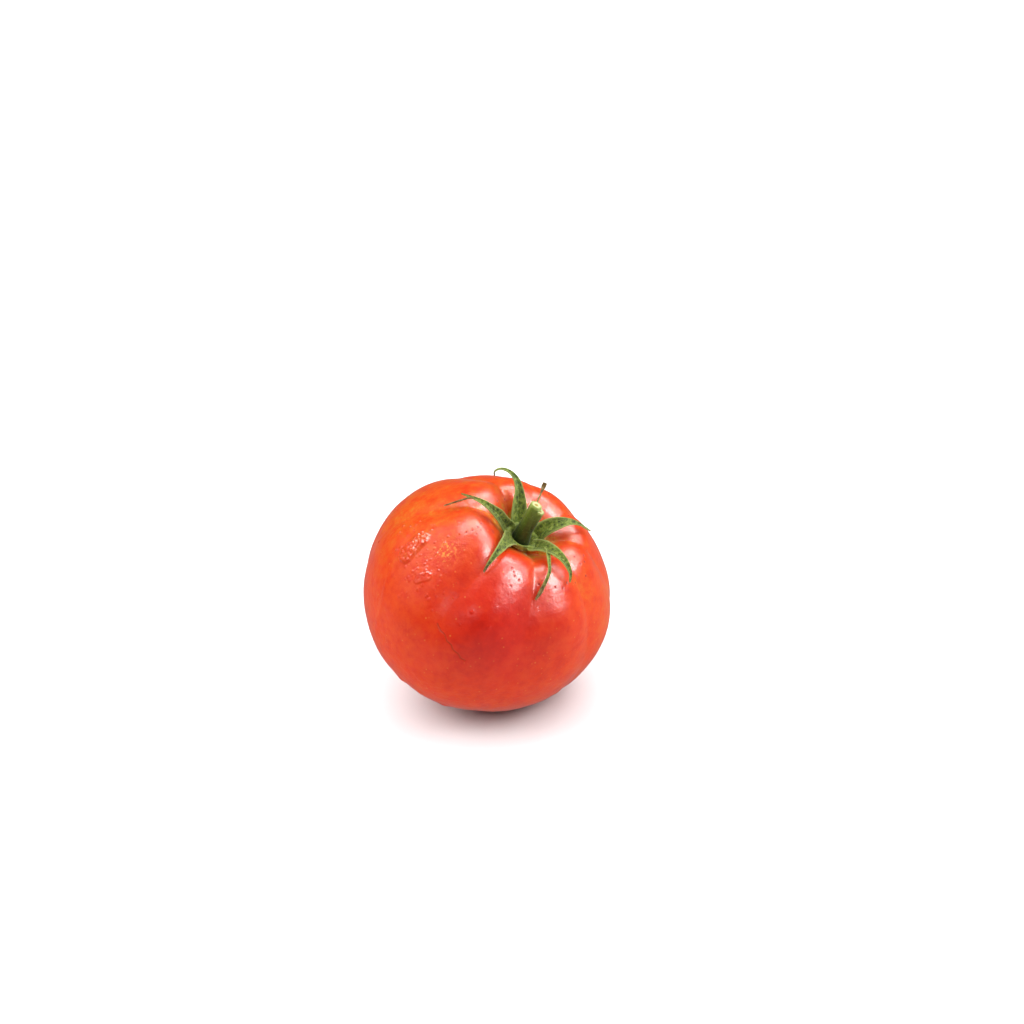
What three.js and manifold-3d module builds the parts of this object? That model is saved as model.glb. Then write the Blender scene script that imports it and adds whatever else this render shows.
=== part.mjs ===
// A ripe tomato with its green calyx and the cut end of its stalk. It leans to one side and
// rests on a small flat spot. Millimetres, +Z up, origin in the middle of that flat spot.
// The fruit and its greenery are modelled upright, stalk along +Z and the origin at the
// middle of the widest ring, inside a group that leans them over.
import * as THREE from 'three';
import { mergeVertices } from 'three/addons/utils/BufferGeometryUtils.js';
import Module from 'manifold-3d';

// The fruit, measured from its widest ring
const BELLY_RADIUS = 40;
const SHOULDER_HEIGHT = 32.7;
const BASE_DEPTH = 33.9;

// Roundness of the two halves: 2 is an ellipse, and more is boxier
const SHOULDER_ROUNDNESS = 1.94;
const BASE_ROUNDNESS = 2.39;

// The raised shoulder ring, the hollow that the stalk stands in, and the dimple below
const SHOULDER_RING = { radius: 20, width: 7, rise: 2 };
const STALK_HOLLOW = { radius: 10, depth: 8.5, steepness: 2.6 };
const BLOSSOM_DIMPLE = { radius: 4, depth: 0.8 };

// How far the fruit is out of round: an oval, a three-sided and a four-sided swelling
const OUT_OF_ROUND = [
  { sides: 2, rise: 0.65, bearing: 34.5 },
  { sides: 3, rise: 0.54, bearing: 5.3 },
  { sides: 4, rise: 0.3, bearing: -29.8 },
];

// Lobes: how far they stand out all over, and how much more on the shoulder
const LOBE_SWELL = 0.25;
const SHOULDER_SWELL = { radius: 16, width: 10, rise: 0.55 };

// Creases between the lobes: bearing on the shoulder and down in the hollow (degrees), depth
// by the stalk, distance along the skin at which it has half faded, depth left at the belly
const CREASES = [
  { bearing: 125, inner: 126, depth: 1.7, reach: 34, trace: 0.35 },
  { bearing: 174, inner: 163, depth: 1.9, reach: 27, trace: 0.3 },
  { bearing: 239, inner: 219, depth: 1.5, reach: 26, trace: 0.3 },
  { bearing: 282, inner: 305, depth: 2.0, reach: 24, trace: 0.25 },
  { bearing: 326, inner: 326, depth: 1.3, reach: 36, trace: 0.5 },
  { bearing: 363, inner: 373, depth: 1.5, reach: 28, trace: 0.4 },
  { bearing: 405, inner: 405, depth: 1.4, reach: 27, trace: 0.3 },
  { bearing: 446, inner: 446, depth: 1.5, reach: 28, trace: 0.3 },
];
const CREASE_HALF_WIDTH = 2.6;
const CREASE_WIDENING = 0.06;
const CREASE_SHARPNESS = 1.35;
const CREASE_BEND_RADIUS = 11;
const CREASE_START_RADIUS = 6;
const CREASE_FADE = 5;
const QUARTER_SKIN_LENGTH = 50;

// How the fruit lies: the lean of its stalk axis, the bearing it leans towards, and where
// the middle of its widest ring is above the flat spot
const LEAN = 28.92;
const LEAN_BEARING = -35.75;
const CENTRE = new THREE.Vector3(-2.6, 4.0, 36.0);

// A low bulge under the fruit, on the side away from the lean, that props it up
const HEEL = { toward: new THREE.Vector3(-7, 5, -36), rise: 1.8, width: 12 };
const FRUIT_REACH = 37;

// The greenery
const GAP = 0.35;
const HUB_RADIUS = 4.7;
const HUB_RIM_TOP = 27.5;
const HUB_RIM_WIDTH = 0.6;
const HUB_DISH_TOP = 26.3;
const STALK_RADIUS = 2.4;
const STALK_TOP = new THREE.Vector3(-0.5, 0.2, 40);
const STALK_FLARE = 0.6;
const STALK_CUT_SLOPE = 0.25;
const STALK_SPUR = { x: 1.2, y: -0.9, radius: 1.5, bottom: 31, top: 38.8 };
const SEPAL_THICKNESS = 0.7;
const THREAD_THICKNESS = 0.6;

// Fineness of the meshes
const FRUIT_AROUND = 72;
const FRUIT_ROWS = 32;
const HUB_AROUND = 28;
const STALK_AROUND = 16;
const STALK_STEPS = 6;
const SEPAL_AROUND = 8;
const SEPAL_STEPS = 14;

const wasm = await Module();
wasm.setup();

const degrees = THREE.MathUtils.degToRad;

// A closed skin, wrapped from a top pole to a bottom pole: place(angle, row) gives each point.
function skin(around, rows, place) {
  const geometry = new THREE.SphereGeometry(1, around, rows);
  const { position, uv } = geometry.attributes;
  for (let i = 0; i < position.count; i += 1) {
    const row = Math.round((1 - uv.getY(i)) * rows);
    const point = place(uv.getX(i) * 2 * Math.PI, row);
    position.setXYZ(i, point.x, point.y, point.z);
  }
  geometry.deleteAttribute('normal');
  geometry.deleteAttribute('uv');
  return mergeVertices(geometry);
}

function toSolid(geometry) {
  const vertProperties = new Float32Array(geometry.attributes.position.array);
  const triVerts = new Uint32Array(geometry.index.array);
  return new wasm.Manifold(new wasm.Mesh({ numProp: 3, vertProperties, triVerts }));
}

function toGeometry(solid) {
  const { vertProperties, triVerts } = solid.getMesh();
  const geometry = new THREE.BufferGeometry();
  geometry.setAttribute('position', new THREE.BufferAttribute(vertProperties, 3));
  geometry.setIndex(new THREE.BufferAttribute(triVerts, 1));
  return geometry;
}

// The fruit's section, from the stalk (0) past the belly to the blossom end (pi):
// x is the distance from the stalk axis and y the height above the widest ring.
function section(polar) {
  const upper = Math.cos(polar) >= 0;
  const power = 2 / (upper ? SHOULDER_ROUNDNESS : BASE_ROUNDNESS);
  const radius = BELLY_RADIUS * Math.abs(Math.sin(polar)) ** power;
  const rise = Math.abs(Math.cos(polar)) ** power;
  if (!upper) {
    const dimple = BLOSSOM_DIMPLE.depth * Math.exp(-((radius / BLOSSOM_DIMPLE.radius) ** 2));
    return new THREE.Vector2(radius, dimple - BASE_DEPTH * rise);
  }
  const ring = (radius - SHOULDER_RING.radius) / SHOULDER_RING.width;
  const inner = (radius / STALK_HOLLOW.radius) ** STALK_HOLLOW.steepness;
  const height = SHOULDER_HEIGHT * rise
    + SHOULDER_RING.rise * Math.exp(-(ring ** 2))
    - STALK_HOLLOW.depth * Math.exp(-inner);
  return new THREE.Vector2(radius, height);
}

function sectionNormal(polar) {
  const step = 0.001;
  const along = section(polar + step).sub(section(polar - step));
  return new THREE.Vector2(-along.y, along.x).normalize();
}

// How far the creases dent the skin at one point
function creaseDepth(angle, polar, radius) {
  const upper = Math.cos(polar) >= 0 ? 1 : 0;
  const travelled = (polar / (Math.PI / 2)) * QUARTER_SKIN_LENGTH;
  const halfWidth = CREASE_HALF_WIDTH + CREASE_WIDENING * radius;
  const start = 1 - Math.exp(-((radius / CREASE_START_RADIUS) ** 2));
  const bend = upper * Math.exp(-((radius / CREASE_BEND_RADIUS) ** 3));
  let dent = 0;
  for (const crease of CREASES) {
    const bearing = crease.bearing + (crease.inner - crease.bearing) * bend;
    const turn = angle - degrees(bearing);
    const away = Math.atan2(Math.sin(turn), Math.cos(turn)) * Math.max(radius, 3);
    const fade = 1 / (1 + (travelled / crease.reach) ** CREASE_FADE);
    const depth = crease.trace + (crease.depth - crease.trace) * fade;
    dent += depth * start * Math.exp(-(Math.abs(away / halfWidth) ** CREASE_SHARPNESS));
  }
  return dent;
}

function outOfRound(angle) {
  const swelling = OUT_OF_ROUND.reduce(
    (sum, { sides, rise, bearing }) => sum + rise * Math.cos(sides * (angle - degrees(bearing))),
    0,
  );
  return 1 + swelling / BELLY_RADIUS;
}

const stalkAxis = new THREE.Vector3(
  Math.sin(degrees(LEAN)) * Math.cos(degrees(LEAN_BEARING)),
  Math.sin(degrees(LEAN)) * Math.sin(degrees(LEAN_BEARING)),
  Math.cos(degrees(LEAN)),
);
const leaning = new THREE.Group();
leaning.position.copy(CENTRE);
leaning.quaternion.setFromUnitVectors(new THREE.Vector3(0, 0, 1), stalkAxis);
leaning.updateMatrixWorld();

const heelAxis = HEEL.toward.clone().normalize()
  .applyQuaternion(leaning.quaternion.clone().invert());

function fruitSurface(angle, polar) {
  const outline = section(polar);
  const normal = sectionNormal(polar);
  const upper = Math.cos(polar) >= 0 ? 1 : 0;
  const onShoulder = (outline.x - SHOULDER_SWELL.radius) / SHOULDER_SWELL.width;
  const swell = LOBE_SWELL + upper * SHOULDER_SWELL.rise * Math.exp(-(onShoulder ** 2));
  const out = swell - creaseDepth(angle, polar, outline.x);
  const radius = (outline.x + out * normal.x) * outOfRound(angle);
  const point = new THREE.Vector3(
    radius * Math.cos(angle),
    radius * Math.sin(angle),
    outline.y + out * normal.y,
  );
  const fromHeel = point.angleTo(heelAxis) * FRUIT_REACH;
  return point.addScaledVector(heelAxis, HEEL.rise * Math.exp(-((fromHeel / HEEL.width) ** 2)));
}

// The fruit, one solid, with its flat spot cut level at the surface that it rests on
function fruitGeometry() {
  const whole = skin(FRUIT_AROUND, FRUIT_ROWS, (angle, row) => {
    const polar = (Math.PI * row) / FRUIT_ROWS;
    return fruitSurface(row === 0 || row === FRUIT_ROWS ? 0 : angle, polar);
  });
  const below = new THREE.BoxGeometry(4 * BELLY_RADIUS, 4 * BELLY_RADIUS, BELLY_RADIUS);
  below.translate(0, 0, -BELLY_RADIUS / 2);
  below.applyMatrix4(leaning.matrixWorld.clone().invert());
  below.deleteAttribute('normal');
  below.deleteAttribute('uv');
  return toGeometry(toSolid(whole).subtract(toSolid(mergeVertices(below))));
}

// Height of the hollow's floor at a distance from the stalk axis
function hollowFloor(distance) {
  const polar = Math.asin((distance / BELLY_RADIUS) ** (SHOULDER_ROUNDNESS / 2));
  return section(polar).y + LOBE_SWELL;
}

// The hub of the calyx: a small dish on the floor of the stalk's hollow
function hubGeometry() {
  const onFloor = (radius) => new THREE.Vector2(radius, hollowFloor(radius) + GAP);
  const outline = [
    new THREE.Vector2(0, HUB_DISH_TOP),
    new THREE.Vector2(STALK_RADIUS + STALK_FLARE, HUB_DISH_TOP),
    new THREE.Vector2(HUB_RADIUS - HUB_RIM_WIDTH, HUB_RIM_TOP),
    new THREE.Vector2(HUB_RADIUS, HUB_RIM_TOP - HUB_RIM_WIDTH),
    onFloor(HUB_RADIUS),
    onFloor(HUB_RADIUS * 0.75),
    onFloor(HUB_RADIUS * 0.4),
    onFloor(0),
  ];
  return skin(HUB_AROUND, outline.length - 1, (angle, row) => {
    const { x: radius, y: height } = outline[row];
    return new THREE.Vector3(radius * Math.cos(angle), radius * Math.sin(angle), height);
  });
}

// A closed rod or blade along a smooth line. shape(angle, s) gives a point of its section,
// x across the blade and y through it; both ends are flat.
function blade(line, across, steps, around, shape) {
  const stations = [];
  let side = across.clone();
  for (let i = 0; i <= steps; i += 1) {
    const tangent = line.getTangent(i / steps);
    side = side.clone().addScaledVector(tangent, -side.dot(tangent)).normalize();
    const through = tangent.clone().cross(side);
    stations.push({ middle: line.getPoint(i / steps), side, through });
  }
  return skin(around, steps + 2, (angle, row) => {
    const index = THREE.MathUtils.clamp(row - 1, 0, steps);
    const { middle, side: left, through } = stations[index];
    if (row === 0 || row === steps + 2) return middle;
    const { x, y } = shape(angle, index / steps);
    return middle.clone().addScaledVector(left, x).addScaledVector(through, y);
  });
}

// A sepal: a thin blade whose width is given at even steps along it, cupped a little
function sepalGeometry({ path, widths, thickness = SEPAL_THICKNESS, steps = SEPAL_STEPS }) {
  const line = new THREE.CatmullRomCurve3(path.map((p) => new THREE.Vector3(...p)));
  const along = line.getTangent(0);
  const across = new THREE.Vector3(0, 0, 1).cross(along).normalize();
  return blade(line, across, steps, SEPAL_AROUND, (angle, s) => {
    const last = widths.length - 1;
    const left = Math.min(Math.floor(s * last), last - 1);
    const half = THREE.MathUtils.lerp(widths[left], widths[left + 1], s * last - left) / 2;
    const cup = (half * Math.cos(angle) ** 2) / 6;
    return new THREE.Vector2(half * Math.cos(angle), -0.5 * thickness * Math.sin(angle) + cup);
  });
}

function joined(...geometries) {
  return toGeometry(geometries.map(toSolid).reduce((all, next) => all.add(next)));
}

// The cut stalk: a rod that flares at its foot, its end cut a little askew, with the stub of
// a second branch grown against it
function stalkGeometry() {
  const foot = HUB_DISH_TOP + GAP;
  const rows = STALK_STEPS + 2;
  const main = skin(STALK_AROUND, rows, (angle, row) => {
    const level = THREE.MathUtils.clamp((rows - 1 - row) / STALK_STEPS, 0, 1);
    const flare = STALK_FLARE * (1 - level) ** 3;
    const size = row === 0 || row === rows ? 0 : STALK_RADIUS + flare;
    const x = size * Math.cos(angle);
    const y = size * Math.sin(angle);
    const askew = level === 1 ? -STALK_CUT_SLOPE * x : 0;
    const height = foot + (STALK_TOP.z - foot) * level + askew;
    return new THREE.Vector3(x + STALK_TOP.x * level, y + STALK_TOP.y * level, height);
  });
  const spurHeight = STALK_SPUR.top - STALK_SPUR.bottom;
  const spur = new THREE.CylinderGeometry(
    STALK_SPUR.radius,
    STALK_SPUR.radius / 2,
    spurHeight,
    STALK_AROUND,
  );
  spur.rotateX(Math.PI / 2);
  spur.translate(STALK_SPUR.x, STALK_SPUR.y, STALK_SPUR.bottom + spurHeight / 2);
  spur.deleteAttribute('normal');
  spur.deleteAttribute('uv');
  return joined(main, mergeVertices(spur));
}

// The sepals' middle lines and widths, from the hub's rim to the tip
const SEPALS = {
  sepal_tall: [{
    path: [
      [-1.9, 4.9, 26.9], [-2.9, 6.6, 29.5], [-4.1, 8.6, 32.6], [-5.3, 10.6, 35.2],
      [-7.1, 13.0, 37.0], [-9.4, 15.2, 37.1], [-11.9, 16.8, 35.7], [-13.6, 16.2, 34.7],
    ],
    widths: [4.6, 4.5, 4.0, 3.2, 2.4, 1.6, 0.9],
  }],
  sepal_forked: [{
    path: [
      [-5.2, 1.3, 27.0], [-7.6, 0.3, 29.6], [-10.3, -1.0, 32.8], [-12.9, -1.5, 34.7],
      [-15.2, -1.2, 35.6], [-17.6, 0.2, 35.1], [-19.7, 2.2, 33.6], [-22.5, 6.0, 30.1],
    ],
    widths: [3.4, 3.4, 3.1, 2.6, 2.1, 1.6, 1.3, 0.9],
  }, {
    path: [[-18.4, 1.0, 34.8], [-20.4, 2.1, 33.2], [-23.6, 2.1, 29.8], [-26.4, 2.7, 25.8]],
    widths: [0.9, 0.9, 0.8, 0.7],
    thickness: THREAD_THICKNESS,
    steps: 7,
  }],
  sepal_left: [{
    path: [
      [-4.1, -3.4, 27.0], [-5.7, -6.6, 29.6], [-7.8, -11.4, 32.6], [-9.3, -15.1, 33.1],
      [-10.6, -17.8, 32.1], [-11.7, -20.2, 29.9], [-12.2, -21.9, 27.9],
    ],
    widths: [4.0, 3.8, 3.0, 2.4, 1.8, 1.2, 0.9],
  }],
  sepal_split: [{
    path: [
      [4.2, -3.1, 27.0], [5.4, -4.6, 29.0], [6.8, -7.4, 32.0], [8.6, -10.8, 34.8],
      [10.7, -13.4, 35.7], [12.6, -15.1, 35.1], [14.2, -16.1, 33.5], [15.3, -17.2, 30.8],
    ],
    widths: [3.4, 3.5, 3.4, 3.0, 2.6, 2.0, 1.4, 0.9],
  }, {
    path: [
      [6.6, -8.2, 32.4], [6.6, -12.0, 33.5], [6.7, -15.0, 34.1], [7.1, -17.8, 33.9],
      [7.1, -19.8, 32.7], [6.8, -21.6, 30.6], [6.4, -23.4, 28.5], [5.8, -25.0, 26.6],
    ],
    widths: [1.6, 1.3, 1.1, 0.9, 0.9, 1.1, 1.3, 0.8],
    thickness: THREAD_THICKNESS,
  }],
  sepal_right: [{
    path: [
      [5.1, 1.7, 27.0], [5.6, 2.2, 29.0], [7.1, 2.7, 31.7], [9.0, 3.1, 33.7],
      [11.1, 3.9, 34.8], [13.6, 4.8, 35.0], [16.2, 5.6, 34.4], [18.9, 6.3, 33.1],
      [21.3, 7.2, 31.7],
    ],
    widths: [3.8, 4.4, 4.5, 4.2, 3.6, 2.7, 1.6, 0.9],
  }],
  sepal_back: [{
    path: [
      [1.5, 5.1, 27.0], [1.7, 7.4, 30.0], [2.0, 9.6, 31.9], [2.5, 12.4, 32.7],
      [3.1, 15.2, 33.2], [3.5, 17.3, 33.9], [3.5, 18.0, 35.2],
    ],
    widths: [1.9, 1.9, 1.4, 1.0, 0.8, 1.0, 1.3],
  }],
};

// Colours of the ripe skin, the leaf green and the stalk
const fruitSkin = new THREE.MeshStandardMaterial({ color: 0xd7321e, roughness: 0.25 });
const leafGreen = new THREE.MeshStandardMaterial({ color: 0x6f8c3c, roughness: 0.7 });
const stalkGreen = new THREE.MeshStandardMaterial({ color: 0x5f7a30, roughness: 0.65 });

function addPiece(name, geometry, material) {
  geometry.computeVertexNormals();
  const mesh = new THREE.Mesh(geometry, material.clone());
  mesh.name = name;
  leaning.add(mesh);
}

addPiece('fruit', fruitGeometry(), fruitSkin);
addPiece('calyx_hub', hubGeometry(), leafGreen);
addPiece('stalk', stalkGeometry(), stalkGreen);
for (const [name, blades] of Object.entries(SEPALS)) {
  addPiece(name, joined(...blades.map(sepalGeometry)), leafGreen);
}

const tomato = new THREE.Group();
tomato.add(leaning);

export default tomato;
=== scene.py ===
import math
import random

import bpy
import numpy as np
from mathutils import Matrix, Vector, noise
from mathutils.bvhtree import BVHTree


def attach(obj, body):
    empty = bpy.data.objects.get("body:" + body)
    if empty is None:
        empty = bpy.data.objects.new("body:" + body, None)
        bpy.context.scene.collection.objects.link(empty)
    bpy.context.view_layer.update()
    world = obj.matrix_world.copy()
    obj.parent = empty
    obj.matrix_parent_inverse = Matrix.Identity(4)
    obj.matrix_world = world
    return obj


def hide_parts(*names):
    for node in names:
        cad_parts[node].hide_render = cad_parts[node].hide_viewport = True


# A ripe tomato with its calyx and the cut end of its stalk, lying on a white table. The fruit
# and its greenery are shaped upright, in millimetres from the middle of the widest ring with
# the stalk along +Z, and then leaned over into their place.

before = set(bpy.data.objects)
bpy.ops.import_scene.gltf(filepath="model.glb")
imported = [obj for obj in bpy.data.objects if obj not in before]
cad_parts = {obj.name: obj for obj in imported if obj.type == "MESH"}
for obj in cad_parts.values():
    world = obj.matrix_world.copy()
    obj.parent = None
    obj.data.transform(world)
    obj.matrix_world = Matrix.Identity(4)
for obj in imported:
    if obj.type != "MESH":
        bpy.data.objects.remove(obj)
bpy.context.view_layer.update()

MM = 0.001

# The fruit, as on its solid
BELLY_RADIUS = 40
SHOULDER_HEIGHT = 32.7
BASE_DEPTH = 33.9
SHOULDER_ROUNDNESS = 1.94
BASE_ROUNDNESS = 2.39
SHOULDER_RING = {"radius": 20, "width": 7, "rise": 2}
STALK_HOLLOW = {"radius": 10, "depth": 8.5, "steepness": 2.6}
BLOSSOM_DIMPLE = {"radius": 4, "depth": 0.8}
OUT_OF_ROUND = [(2, 0.65, 34.5), (3, 0.54, 5.3), (4, 0.3, -29.8)]
LOBE_SWELL = 0.25
SHOULDER_SWELL = {"radius": 16, "width": 10, "rise": 0.55}

# Creases: bearing on the shoulder, bearing in the hollow, depth, reach, depth left at the belly
CREASES = [
    (125, 126, 1.7, 34, 0.35),
    (174, 163, 1.9, 27, 0.3),
    (239, 219, 1.5, 26, 0.3),
    (282, 305, 2.0, 24, 0.25),
    (326, 326, 1.3, 36, 0.5),
    (363, 373, 1.5, 28, 0.4),
    (405, 405, 1.4, 27, 0.3),
    (446, 446, 1.1, 20, 0.1),
]
CREASE_HALF_WIDTH = 2.6
CREASE_WIDENING = 0.06
CREASE_SHARPNESS = 1.35
CREASE_BEND_RADIUS = 11
CREASE_START_RADIUS = 6
CREASE_FADE = 5
QUARTER_SKIN_LENGTH = 50

# How it lies
LEAN = math.radians(28.92)
LEAN_BEARING = math.radians(-35.75)
CENTRE = Vector((-2.6, 4.0, 36.0))
HEEL = {"toward": Vector((-7, 5, -36)), "rise": 1.8, "width": 12}
FRUIT_REACH = 37

stalk_axis = Vector(
    (
        math.sin(LEAN) * math.cos(LEAN_BEARING),
        math.sin(LEAN) * math.sin(LEAN_BEARING),
        math.cos(LEAN),
    )
)
LEANING = Vector((0, 0, 1)).rotation_difference(stalk_axis)
INTO_PLACE = Matrix.Translation(CENTRE * MM) @ LEANING.to_matrix().to_4x4()
heel_axis = np.array(LEANING.inverted() @ HEEL["toward"].normalized())


# ---- working by hand


def deselect():
    bpy.ops.object.select_all(action="DESELECT")


def take(piece):
    deselect()
    piece.select_set(True)
    bpy.context.view_layer.objects.active = piece


def named(name):
    """Names the primitive that was just added."""
    piece = bpy.context.object
    piece.name = name
    piece.data.name = name
    return piece


def points_of(piece):
    places = np.empty(len(piece.data.vertices) * 3)
    piece.data.vertices.foreach_get("co", places)
    return places.reshape(-1, 3)


def move_points(piece, places):
    piece.data.vertices.foreach_set("co", np.asarray(places, float).ravel())
    piece.data.update()


def paint(piece, name, values):
    """Stores one number per vertex, for a material to read."""
    layer = piece.data.attributes.new(name, "FLOAT", "POINT")
    layer.data.foreach_set("value", np.asarray(values, np.float32))


def choose_faces(piece, test):
    """Goes into edit mode with the faces selected whose middles pass the test."""
    take(piece)
    bpy.ops.object.mode_set(mode="EDIT")
    bpy.ops.mesh.select_mode(type="FACE")
    bpy.ops.mesh.select_all(action="DESELECT")
    bpy.ops.object.mode_set(mode="OBJECT")
    middles = np.empty(len(piece.data.polygons) * 3)
    piece.data.polygons.foreach_get("center", middles)
    piece.data.polygons.foreach_set("select", test(middles.reshape(-1, 3)))
    bpy.ops.object.mode_set(mode="EDIT")


def leave_edit():
    bpy.ops.object.mode_set(mode="OBJECT")


def modify(piece, kind, **settings):
    """Adds a modifier and applies it."""
    take(piece)
    modifier = piece.modifiers.new(kind.title(), kind)
    for name, value in settings.items():
        setattr(modifier, name, value)
    bpy.ops.object.modifier_apply(modifier=modifier.name)


def settle(piece, material, slot, *nodes):
    """Leans a finished piece into its place and fixes it there."""
    piece.data.transform(INTO_PLACE)
    piece.data.update()
    take(piece)
    bpy.ops.object.shade_smooth()
    if not piece.data.materials:
        piece.data.materials.append(material)
    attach(piece, "root")
    if nodes:
        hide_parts(*nodes)
    return piece


# ---- materials


def linear(code):
    """An sRGB hex colour as linear red, green, blue and alpha."""
    shares = [int(code[i : i + 2], 16) / 255 for i in (1, 3, 5)]
    curved = [s / 12.92 if s <= 0.04045 else ((s + 0.055) / 1.055) ** 2.4 for s in shares]
    return (*curved, 1)


def add_node(tree, kind, settings=None, inputs=None, stops=None):
    """Adds one node with its settings, its inputs (values or links) and a ramp's stops."""
    node = tree.nodes.new(kind)
    for name, value in (settings or {}).items():
        setattr(node, name, value)
    for key, value in (inputs or {}).items():
        if isinstance(value, bpy.types.NodeSocket):
            tree.links.new(value, node.inputs[key])
        else:
            node.inputs[key].default_value = value
    for number, (place, colour) in enumerate(stops or []):
        ramp = node.color_ramp.elements
        stop = ramp[number] if number < 2 else ramp.new(place)
        stop.position = place
        stop.color = linear(colour)
    return node


def new_material(name):
    """A material, its empty tree, and the socket that takes the finished surface."""
    material = bpy.data.materials.new(name)
    material.use_nodes = True
    tree = material.node_tree
    tree.nodes.clear()
    return material, tree, add_node(tree, "ShaderNodeOutputMaterial").inputs["Surface"]


def per_mm(size):
    """A texture scale whose features are this many millimetres across."""
    return 1 / (size * MM)


def tomato_skin():
    """Waxed cuticle of a ripe tomato: deep red flesh colour seen through a thin clear layer,
    which gives sharp reflections over a softer sheen, with pale pores and corky marks."""
    material, tree, surface = new_material("ripe tomato skin")
    place = add_node(tree, "ShaderNodeTexCoord").outputs["Object"]
    # Each pattern's size in mm, detail and roughness
    patterns = [(16, 3, 0.6), (3.5, 4, 0.7), (1.0, 2, 0.6), (0.7, 2, 0.5), (2.2, 2, 0.5)]
    broad, mottle, specks, grain, dimples = [
        add_node(
            tree,
            "ShaderNodeTexNoise",
            inputs={"Vector": place, "Scale": per_mm(size), "Detail": detail, "Roughness": rough},
        ).outputs["Fac"]
        for size, detail, rough in patterns
    ]
    painted = ("ripening_and_light", "speckled", "pit", "cork", "crack", "wet")
    ripening_and_light, speckled, pit, cork, crack, wet = [
        add_node(tree, "ShaderNodeAttribute", {"attribute_name": name}).outputs["Fac"]
        for name in painted
    ]
    flesh = add_node(tree, "ShaderNodeMix", {"data_type": "FLOAT"}, {0: 0.45, 2: broad, 3: mottle})
    ripe = add_node(
        tree,
        "ShaderNodeValToRGB",
        inputs={"Fac": flesh.outputs[0]},
        stops=[(0.36, "#BE1606"), (0.5, "#CE1E07"), (0.64, "#DA2E0B")],
    )
    spotty = {"From Min": 0.34, "From Max": 0.66, "To Min": 0.6, "To Max": 1.4}
    uneven = add_node(tree, "ShaderNodeMapRange", inputs={"Value": mottle, **spotty})
    # How orange the skin is: real uneven ripening with painted light and shade, deepest red on the
    # front
    orange_share = add_node(
        tree,
        "ShaderNodeMath",
        {"operation": "MULTIPLY", "use_clamp": True},
        {0: uneven.outputs[0], 1: ripening_and_light},
    )
    orange = add_node(
        tree,
        "ShaderNodeValToRGB",
        inputs={"Fac": orange_share.outputs[0]},
        stops=[(0.0, "#D4380A"), (0.45, "#D8440C"), (0.75, "#D85E14"), (1.0, "#D09030")],
    )
    strong = add_node(
        tree,
        "ShaderNodeMapRange",
        inputs={"Value": orange_share.outputs[0], "From Min": 0.0, "From Max": 0.42},
    )
    pores = add_node(tree, "ShaderNodeTexVoronoi", inputs={"Vector": place, "Scale": per_mm(2.4)})
    # Pores differ in strength, and the pale specks show only in their patch
    by_pore = add_node(tree, "ShaderNodeSeparateColor", inputs={"Color": pores.outputs["Color"]})
    pore_edge = {"From Min": 0.16, "From Max": 0.06, "To Max": 0.55}
    speck_edge = {"From Min": 0.52, "From Max": 0.64, "To Max": 0.75}
    dots = []
    for value, edge, amount in [
        (pores.outputs["Distance"], pore_edge, by_pore.outputs["Red"]),
        (specks, speck_edge, speckled),
    ]:
        dot = add_node(
            tree,
            "ShaderNodeMapRange",
            {"interpolation_type": "SMOOTHSTEP"},
            {"Value": value, **edge},
        )
        seen = add_node(
            tree, "ShaderNodeMath", {"operation": "MULTIPLY"}, {0: dot.outputs[0], 1: amount}
        )
        dots.append(seen.outputs[0])
    layers = [
        (strong.outputs[0], orange.outputs["Color"]),
        (dots[0], linear("#E08A40")),
        (dots[1], linear("#F2AA3E")),
        (pit, linear("#8E140A")),
        (cork, linear("#8C6230")),
        (crack, linear("#A8300A")),
    ]
    colour = ripe.outputs["Color"]
    for amount, over in layers:
        mixed = add_node(
            tree, "ShaderNodeMix", {"data_type": "RGBA"}, {0: amount, 6: colour, 7: over}
        )
        colour = mixed.outputs[2]
    relief = add_node(
        tree, "ShaderNodeMath", {"operation": "MULTIPLY_ADD"}, {0: dimples, 1: 3.6, 2: grain}
    )
    bump = add_node(
        tree,
        "ShaderNodeBump",
        inputs={"Strength": 0.8, "Distance": 0.05 * MM, "Height": relief.outputs[0]},
    )
    sheen = add_node(
        tree, "ShaderNodeMapRange", inputs={"Value": mottle, "To Min": 0.25, "To Max": 0.41}
    )
    roughness = add_node(
        tree,
        "ShaderNodeMath",
        {"operation": "MULTIPLY_ADD", "use_clamp": True},
        {0: pit, 1: 0.6, 2: sheen.outputs[0]},
    )
    glaze = add_node(
        tree, "ShaderNodeMapRange", inputs={"Value": wet, "To Min": 0.12, "To Max": 1.0}
    )
    shader = add_node(
        tree,
        "ShaderNodeBsdfPrincipled",
        inputs={
            "Base Color": colour,
            "Roughness": roughness.outputs[0],
            "IOR": 1.35,
            "Subsurface Weight": 0.15,
            "Subsurface Radius": (0.004, 0.0012, 0.0006),
            "Subsurface Scale": 1.0,
            "Coat Weight": glaze.outputs[0],
            "Coat Roughness": 0.08,
            "Coat IOR": 1.45,
            "Normal": bump.outputs[0],
        },
    )
    tree.links.new(shader.outputs[0], surface)
    return material


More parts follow.
